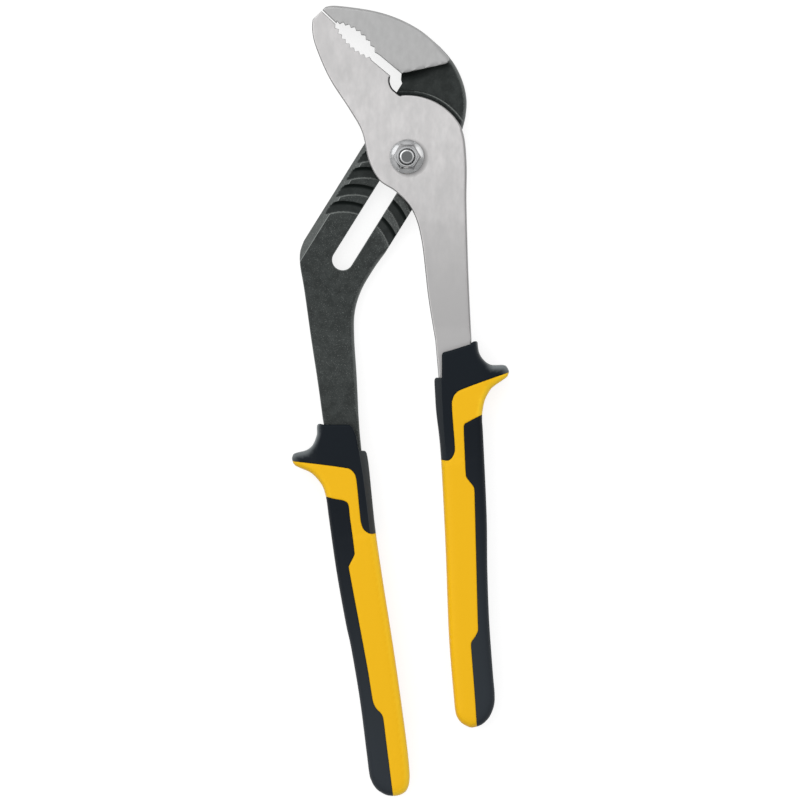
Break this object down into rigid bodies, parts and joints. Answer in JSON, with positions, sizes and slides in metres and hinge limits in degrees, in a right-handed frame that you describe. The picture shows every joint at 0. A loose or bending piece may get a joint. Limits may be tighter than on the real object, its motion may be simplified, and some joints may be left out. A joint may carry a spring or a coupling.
{
  "type": "water pump pliers",
  "caption": "Groove-joint water pump pliers: front lever with round head, slotted rear lever whose pivot bolt steps along arc grooves, toothed jaws and moulded grips with thumb guards.",
  "frame": {"origin": "on the pivot axis, at the flat back of the bolt head, which lies in the plane that the tool rests on", "axes": "+Y along the tool towards the jaws, +Z out of the front face on the nut side, +X to the right seen from the front"},
  "size_m": [0.0836, 0.3051, 0.0205],
  "materials": {
    "ground_steel": "forged tool steel, satin ground",
    "phosphated_steel": "forged tool steel, dark phosphate, ground grey on the jaw face",
    "zinc_plated_steel": "bright zinc plated",
    "yellow_core": "moulded polypropylene, satin",
    "black_collar": "moulded thermoplastic elastomer, satin",
    "black_pad": "moulded thermoplastic elastomer, fine matt texture"
  },
  "bodies": {
    "front_half": {"front_lever": "ground_steel", "right_grip_core": "yellow_core", "right_grip_collar": "black_collar", "right_grip_pad": "black_pad"},
    "pivot": {"pivot_bolt": "zinc_plated_steel", "flange_nut": "zinc_plated_steel"},
    "slotted_half": {"slotted_lever": "phosphated_steel", "left_grip_core": "yellow_core", "left_grip_collar": "black_collar", "left_grip_pad": "black_pad"}
  },
  "joints": [
    {"name": "jaw_pivot", "type": "hinge", "parent": "front_half", "child": "pivot", "pos_m": [0, 0, 0.008], "axis": [0, 0, -1], "range_deg": [0, 70]},
    {"name": "groove_setting", "type": "slide", "parent": "pivot", "child": "slotted_half", "axis": [0.5299, 0.848, 0], "range_m": [0, 0.031]}
  ]
}
